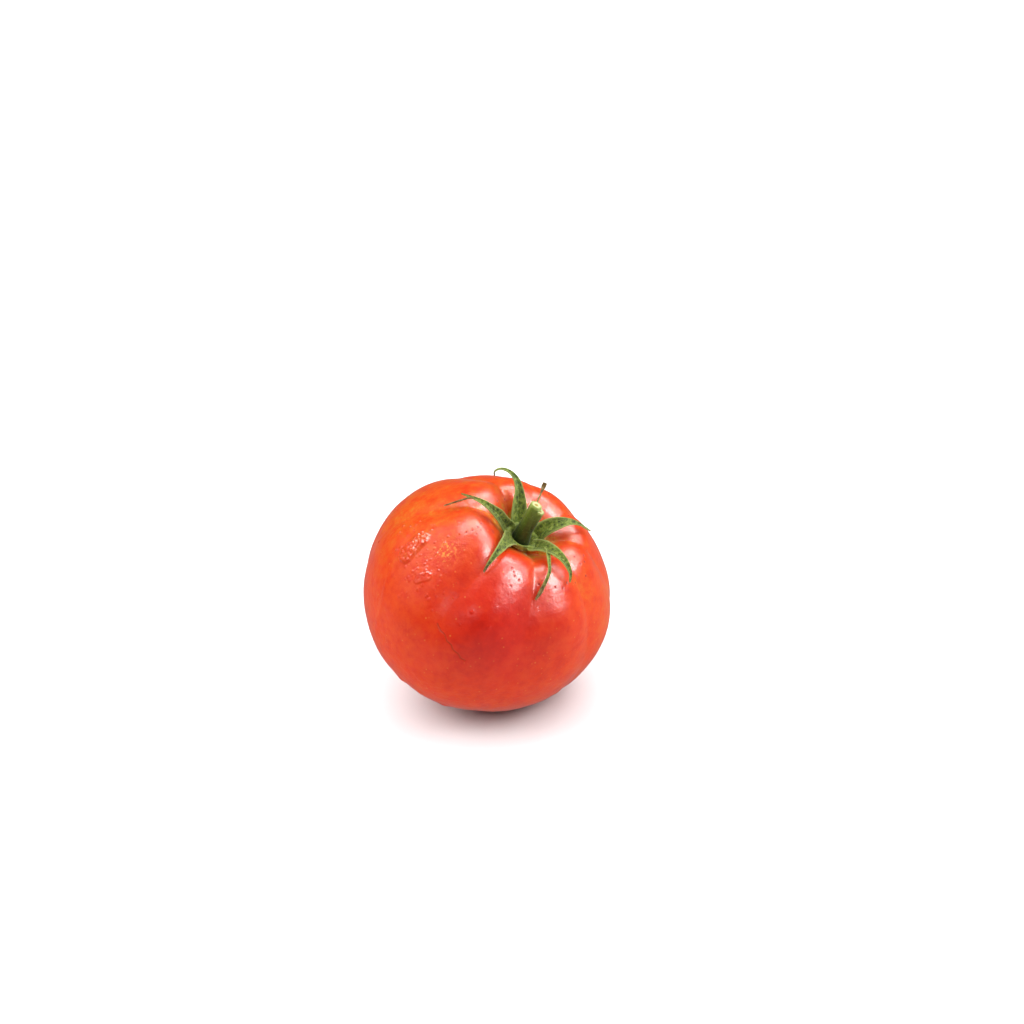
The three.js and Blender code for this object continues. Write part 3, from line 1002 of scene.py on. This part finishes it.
def turned(name, rings, sides):
    """A piece of rings joined by faces, each ring (radius, middle) in millimetres: a circle
    extruded from ring to ring, with both ends closed at a point."""
    deselect()
    radius, middle = rings[0]
    bpy.ops.mesh.primitive_circle_add(vertices=sides, radius=radius * MM, location=(0, 0, 0))
    piece = named(name)
    bpy.ops.object.mode_set(mode="EDIT")
    bpy.ops.mesh.select_mode(type="VERT")
    bpy.ops.mesh.select_all(action="SELECT")
    bpy.ops.transform.translate(value=Vector(middle) * MM)
    for ring, (next_radius, next_middle) in zip(rings, rings[1:]):
        step = (Vector(next_middle) - Vector(ring[1])) * MM
        bpy.ops.mesh.extrude_region_move(TRANSFORM_OT_translate={"value": step})
        share = next_radius / ring[0]
        bpy.ops.transform.resize(
            value=(share, share, share), center_override=Vector(next_middle) * MM
        )
    bpy.ops.mesh.merge(type="CENTER")
    bpy.ops.mesh.select_all(action="DESELECT")
    bpy.ops.mesh.select_non_manifold()
    bpy.ops.mesh.merge(type="CENTER")
    bpy.ops.mesh.select_all(action="SELECT")
    bpy.ops.mesh.normals_make_consistent(inside=False)
    leave_edit()
    return piece


def hollow_floor(distance):
    polar = np.arcsin((distance / BELLY_RADIUS) ** (SHOULDER_ROUNDNESS / 2))
    return float(section(np.array([polar]))[1][0]) + LOBE_SWELL


SEPAL_BEARINGS = [111, 166, 220, 324, 18, 74]
SEPAL_ROOT_WIDTH = 17
# The hub's rim is drawn out to a star beyond this radius
STAR_RADIUS = 4.9
STAR_REACH = 1.15
RIM_BETWEEN_SEPALS = 0.1
DISH_WAVES = {"rise": 0.35, "size": 2, "from_radius": 3.5}

# The hub from its underside to its dish: radius, then height or height above the hollow
HUB_UNDERSIDE = [
    (0.3, 0.25), (2.0, 0.25), (3.6, 0.25), (5.0, 0.2), (6.4, 0.2), (6.7, 0.45), (6.3, 0.8),
]
HUB_DISH = [
    (5.2, 27.3), (4.6, 27.5), (3.9, 26.9), (3.3, 25.9), (2.8, 25.5), (1.5, 25.4), (0.3, 25.4),
]


def make_hub():
    """The hub of the calyx: a small dish in the hollow, drawn out to where the sepals root."""
    rings = [(r, (0, 0, hollow_floor(r) + above)) for r, above in HUB_UNDERSIDE]
    rings += [(r, (0, 0, height)) for r, height in HUB_DISH]
    hub = turned("calyx_hub_dish", rings, 72)
    places = points_of(hub) / MM
    angle = np.degrees(np.arctan2(places[:, 1], places[:, 0]))
    radius = np.hypot(places[:, 0], places[:, 1])
    reach = np.full(len(places), RIM_BETWEEN_SEPALS)
    for bearing in SEPAL_BEARINGS:
        turn = (angle - bearing + 180) % 360 - 180
        reach = np.maximum(reach, hill(turn, SEPAL_ROOT_WIDTH))
    on_skirt = radius > STAR_RADIUS
    drawn_out = STAR_RADIUS + (radius - STAR_RADIUS) * reach * STAR_REACH
    starred = np.where(on_skirt, drawn_out, radius)
    floor = np.array([hollow_floor(r) for r in starred])
    was = np.array([hollow_floor(r) for r in radius])
    size = DISH_WAVES["size"]
    waves = np.array([noise.noise(Vector((p[0] / size, p[1] / size, 3))) for p in places])
    waves = DISH_WAVES["rise"] * waves * (radius > DISH_WAVES["from_radius"])
    places[:, 2] += np.where(on_skirt, floor - was, waves)
    places[:, :2] *= (starred / np.maximum(radius, 1e-6))[:, None]
    move_points(hub, places * MM)
    paint(hub, "dry", np.zeros(len(places)))
    paint(hub, "edge", PALE_EDGE["on_hub"] * on_skirt)
    modify(hub, "SUBSURF", levels=1, render_levels=1)
    return hub


# The stalk and its spur: from foot to cut, with the cut's slope to the right and away
STALK = {
    "foot": (0.1, 0.0, 25.4), "foot_radius": 2.65, "flare": 0.5,
    "cut": (-1.1, 0.95, 40.5), "cut_radius": 1.85, "cut_slope": (-0.075, -0.21),
}
SPUR = {
    "foot": (0.6, -0.5, 31.0), "foot_radius": 1.35, "flare": 0,
    "cut": (0.75, -0.15, 39.4), "cut_radius": 1.3, "cut_slope": (-0.02, -0.06),
}
ROD_STEPS = 12
ROD_SIDES = 32
# Ribs on a rod: count, height as a share of its radius, turn for each mm of height, start
RIBS = [(5, 0.035, 0.16, 0), (11, 0.02, 0, 2)]
# The cut's rings: share of the cut's radius, millimetres more, height over the cut
CUT_RINGS = [(1, -0.16, 0.1), (1, -0.34, 0.1), (0.55, 0, 0.06), (0.38, 0, -0.08), (0, 0.2, -0.2)]
BARK_ROUGHNESS = {"share": 0.05, "size": 1.4}
# Where the cut's slope begins and the pale collar under it, as shares of the rod's length
SLOPE_FROM = 0.75
COLLAR = (0.9, 0.98)
# How light the bark is just below the collar, with painted shade darkening it towards the foot,
# and how much paler the collar is
BARK_SHADE_AND_COLLAR = (0.72, 0.13)
# The skin left round the cut, and how far down the cut's colours reach
CUT_RIM = 0.12
CUT_COLOUR_DEPTH = {"ring": 0.3, "pith": 0.6}


def rod(name, bark, pith, foot, foot_radius, flare, cut, cut_radius, cut_slope):
    """A green rod from its foot to a cut end with a pale ring and a sunken pith."""
    foot, cut = Vector(foot), Vector(cut)
    rings = [(0.3, foot), (foot_radius + flare, foot)]
    for number in range(1, ROD_STEPS + 1):
        share = number / ROD_STEPS
        radius = foot_radius + (cut_radius - foot_radius) * share + flare * (1 - share) ** 4
        rings.append((radius, foot.lerp(cut, share)))
    for share, more, height in CUT_RINGS:
        rings.append((cut_radius * share + more, cut + Vector((0, 0, height))))
    piece = turned(name, rings, ROD_SIDES)
    places = points_of(piece) / MM
    share = np.clip((places[:, 2] - foot.z) / (cut.z - foot.z), 0, 1.2)
    middle = np.array(foot)[None] + share[:, None] * np.array(cut - foot)[None]
    away = places - middle
    angle = np.arctan2(away[:, 1], away[:, 0])
    out = np.hypot(away[:, 0], away[:, 1])
    ribs = sum(h * np.cos(n * angle + twist * places[:, 2] + at) for n, h, twist, at in RIBS)
    rough = BARK_ROUGHNESS["share"] * lumpy(places, BARK_ROUGHNESS["size"])
    places[:, :2] = middle[:, :2] + away[:, :2] * (1 + ribs + rough)[:, None]
    slope = soft_step(SLOPE_FROM, 1.0, share) * (away[:, :2] @ np.array(cut_slope))
    places[:, 2] += slope
    move_points(piece, places * MM)
    below, more = BARK_SHADE_AND_COLLAR
    # Painted shade towards the foot, and the paler collar under the cut
    paint(piece, "height", below * np.minimum(share, 1) + more * soft_step(*COLLAR, share))
    top = places[:, 2] - cut.z - slope > -CUT_COLOUR_DEPTH["ring"]
    paint(piece, "ring", np.where(top, out / cut_radius, 1))
    piece.data.materials.append(bark)
    piece.data.materials.append(pith)

    def on_cut(middles):
        away = middles / MM - np.array(cut)
        level = away[:, 2] - away[:, :2] @ np.array(cut_slope)
        inside = np.hypot(away[:, 0], away[:, 1]) < cut_radius - CUT_RIM
        return inside & (level > -CUT_COLOUR_DEPTH["pith"])

    choose_faces(piece, on_cut)
    piece.active_material_index = 1
    bpy.ops.object.material_slot_assign()
    leave_edit()
    return piece


# The down, and a hair of it: half its width, how far it leans at most, its shortest share
HAIR_COUNT = 1200
HAIR_LENGTH = 0.6
HAIR_RADIUS = 0.035
HAIR_LEAN = 0.5
HAIR_SHORTEST = 0.4


def fuzz(name, carriers, count, length, seed):
    """Fine down: slim three-sided hairs standing on the carriers' faces."""
    chance = random.Random(seed)
    points, faces = [], []
    whole_area = sum(sum(face.area for face in c.data.polygons) for c in carriers)
    for carrier in carriers:
        in_order = list(carrier.data.polygons)
        if carrier in (hub, stalk):
            # Extruding leaves the faces in another order each run, so they go by place
            in_order.sort(key=lambda face: face.center.to_tuple(6))
        areas = [face.area for face in in_order]
        hairs = int(count * sum(areas) / whole_area)
        for face in chance.choices(in_order, areas, k=hairs):
            root = face.center
            lean = Vector([chance.uniform(-HAIR_LEAN, HAIR_LEAN) for _ in range(3)])
            way = (face.normal + lean).normalized()
            tip = root + way * length * chance.uniform(HAIR_SHORTEST, 1.0) * MM
            side = way.orthogonal().normalized() * HAIR_RADIUS * MM
            other = way.cross(side)
            first = len(points)
            points += [root + side, root - side / 2 + other, root - side / 2 - other, tip]
            faces += [
                (first, first + 1, first + 3), (first + 1, first + 2, first + 3),
                (first + 2, first, first + 3), (first, first + 2, first + 1),
            ]
    mesh = bpy.data.meshes.new(name)
    mesh.from_pydata(points, [], faces)
    piece = bpy.data.objects.new(name, mesh)
    bpy.context.scene.collection.objects.link(piece)
    return piece


# ---- put together

skin_material = tomato_skin()
leaf_material = calyx_leaf()
bark_material = stalk_bark()
pith_material = cut_pith()

upright_fruit = make_fruit()
skin_tree = BVHTree.FromPolygons(
    [v.co.copy() for v in upright_fruit.data.vertices],
    [face.vertices for face in upright_fruit.data.polygons],
)
fruit = settle(upright_fruit, skin_material, "fruit_skin", "fruit")
press_flat(fruit)
hub = settle(make_hub(), leaf_material, "calyx_green", "calyx_hub")

stalk_main = rod("stalk_main", bark_material, pith_material, **STALK)
stalk_spur = rod("stalk_spur", bark_material, pith_material, **SPUR)
stalk = settle(joined("stalk_rod", stalk_main, stalk_spur), bark_material, "stalk_green", "stalk")

greens = [hub, stalk]
for node, blades in SEPALS.items():
    parts = [blade(f"{node}_{number}", **shape) for number, shape in enumerate(blades)]
    leaf = joined(f"{node}_leaf", *parts) if len(parts) > 1 else parts[0]
    leaf.name = f"{node}_leaf"
    greens.append(settle(leaf, leaf_material, "calyx_green", node))

down = fuzz("calyx_down", greens, HAIR_COUNT, HAIR_LENGTH, 5)
down.data.materials.append(hair_down())
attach(down, "root")

# ---- studio


# In metres: the table's side, how far it comes forwards, and a hair's gap under the fruit
TABLE_SIZE = 12
TABLE_FRONT = 0.22
TABLE_GAP = 0.00002
# The faint light from all round: brighter away from the camera, and from the table below
BACK_GLOW = {"From Min": -0.9, "From Max": 0.6, "To Min": 0.02, "To Max": 0.08}
TABLE_GLOW = {"From Min": 0.1, "From Max": -0.4, "To Min": 0.0, "To Max": 0.25}
# The camera's place in millimetres and its turns
CAMERA_PLACE = (-2.6, -668.9, 424.5)
CAMERA_TURN = (math.pi / 2 - 0.491793, 0, -0.011074)
CAMERA_LENS = 85
CAMERA_SENSOR = 36


def white_table():
    """White laminate table top: smooth and matt, with a faint grain."""
    material, tree, surface = new_material("white laminate")
    place = add_node(tree, "ShaderNodeTexCoord").outputs["Object"]
    grain = add_node(tree, "ShaderNodeTexNoise", inputs={"Vector": place, "Scale": per_mm(40)})
    colour = add_node(
        tree,
        "ShaderNodeValToRGB",
        inputs={"Fac": grain.outputs["Fac"]},
        stops=[(0.3, "#C0BEBF"), (0.7, "#C3C1C2")],
    )
    shader = add_node(
        tree,
        "ShaderNodeBsdfPrincipled",
        inputs={"Base Color": colour.outputs["Color"], "Roughness": 0.5},
    )
    tree.links.new(shader.outputs[0], surface)
    return material


deselect()
table_middle = (0, TABLE_SIZE / 2 - TABLE_FRONT, -TABLE_GAP)
bpy.ops.mesh.primitive_plane_add(size=TABLE_SIZE, location=table_middle)
table = named("table_top")
table.data.materials.append(white_table())
table.visible_glossy = False


def softbox(
    name, azimuth, elevation, distance, width, height, power, shine=True, spread=True, turn=0
):
    """A soft light that looks at the tomato. Azimuth 0 is behind it and 90 to its right. One
    without shine shows in no reflection, and one without spread shows only in reflections.
    Turn is in degrees about the way it looks."""
    a, e = math.radians(azimuth), math.radians(elevation)
    away = Vector((math.sin(a) * math.cos(e), math.cos(a) * math.cos(e), math.sin(e)))
    lamp = bpy.data.lights.new(name, "AREA")
    lamp.shape = "RECTANGLE"
    lamp.size, lamp.size_y = width, height
    lamp.energy = power
    holder = bpy.data.objects.new(name, lamp)
    bpy.context.scene.collection.objects.link(holder)
    holder.location = CENTRE * MM + away * distance
    holder.rotation_mode = "QUATERNION"
    turned_by = Matrix.Rotation(math.radians(turn), 3, "Z").to_quaternion()
    holder.rotation_quaternion = away.to_track_quat("Z", "Y") @ turned_by
    holder.visible_glossy = shine
    holder.visible_diffuse = spread
    return holder


def light_only(lamps, name, pieces):
    """Links lamps to some pieces, so the table and the tomato can be lit each in its own way."""
    group = bpy.data.collections.new(name)
    for piece in pieces:
        group.objects.link(piece)
    for lamp in lamps:
        lamp.light_linking.receiver_collection = group


key_lamps = [
    softbox("key_softbox", 94, 48, 1.05, 1.25, 1.1, 18.5),
    softbox("top_softbox", -60, 70, 1.1, 0.9, 0.9, 5.0, shine=False),
    softbox("left_softbox", -98, 36, 1.2, 1.0, 0.8, 12, shine=False),
]
gleam_lamps = [
    softbox("key_gleam", 95, 49, 1.0, 0.95, 0.8, 11, spread=False),
    softbox("front_gleam", 116, 40, 1.0, 0.5, 0.62, 28, spread=False),
    softbox("over_gleam", 9, 77, 1.0, 1.4, 0.36, 25, spread=False, turn=35),
    softbox("left_gleam", -105, 20, 1.3, 0.9, 0.7, 1.2, spread=False),
    softbox("glint_lamp", -71, 37, 1.0, 0.12, 0.26, 1.0, spread=False),
    softbox("lamp_left", -157, 26, 1.0, 0.02, 0.06, 1.2, spread=False),
    softbox("lamp_right", 153, 23, 1.0, 0.02, 0.06, 0.6, spread=False),
]
table_lamps = [
    softbox("table_back_light", 5, 60, 1.4, 1.8, 1.8, 38),
    softbox("table_front_light", 180, 55, 1.2, 1.2, 1.0, 14),
    softbox("table_left_light", -85, 37, 1.2, 1.2, 1.0, 28),
    softbox("table_right_light", 85, 37, 1.2, 1.2, 1.0, 25),
]
light_only(key_lamps, "lit_by_key_lamps", [*greens, fruit, down])
light_only(gleam_lamps, "lit_by_gleam_lamps", [fruit])
light_only(table_lamps, "lit_by_table_lamps", [table])

world = bpy.data.worlds.new("studio")
bpy.context.scene.world = world
world.use_nodes = True
tree = world.node_tree
tree.nodes.clear()
ways = add_node(tree, "ShaderNodeTexCoord").outputs["Generated"]
parted = add_node(tree, "ShaderNodeSeparateXYZ", inputs={"Vector": ways})
behind, below = [
    add_node(
        tree,
        "ShaderNodeMapRange",
        {"interpolation_type": "SMOOTHSTEP"},
        {"Value": parted.outputs[way], **glow_range},
    )
    for way, glow_range in (("Y", BACK_GLOW), ("Z", TABLE_GLOW))
]
glow = add_node(
    tree, "ShaderNodeMath", {"operation": "ADD"}, {0: behind.outputs[0], 1: below.outputs[0]}
)
air = add_node(
    tree, "ShaderNodeBackground", inputs={"Color": linear("#F4F4F6"), "Strength": glow.outputs[0]}
)
add_node(tree, "ShaderNodeOutputWorld", inputs={"Surface": air.outputs[0]})

camera_data = bpy.data.cameras.new("camera")
camera_data.lens = CAMERA_LENS
camera_data.sensor_width = CAMERA_SENSOR
camera = bpy.data.objects.new("camera", camera_data)
bpy.context.scene.collection.objects.link(camera)
camera.location = Vector(CAMERA_PLACE) * MM
camera.rotation_euler = CAMERA_TURN
bpy.context.scene.camera = camera
bpy.context.scene.view_settings.view_transform = "Standard"
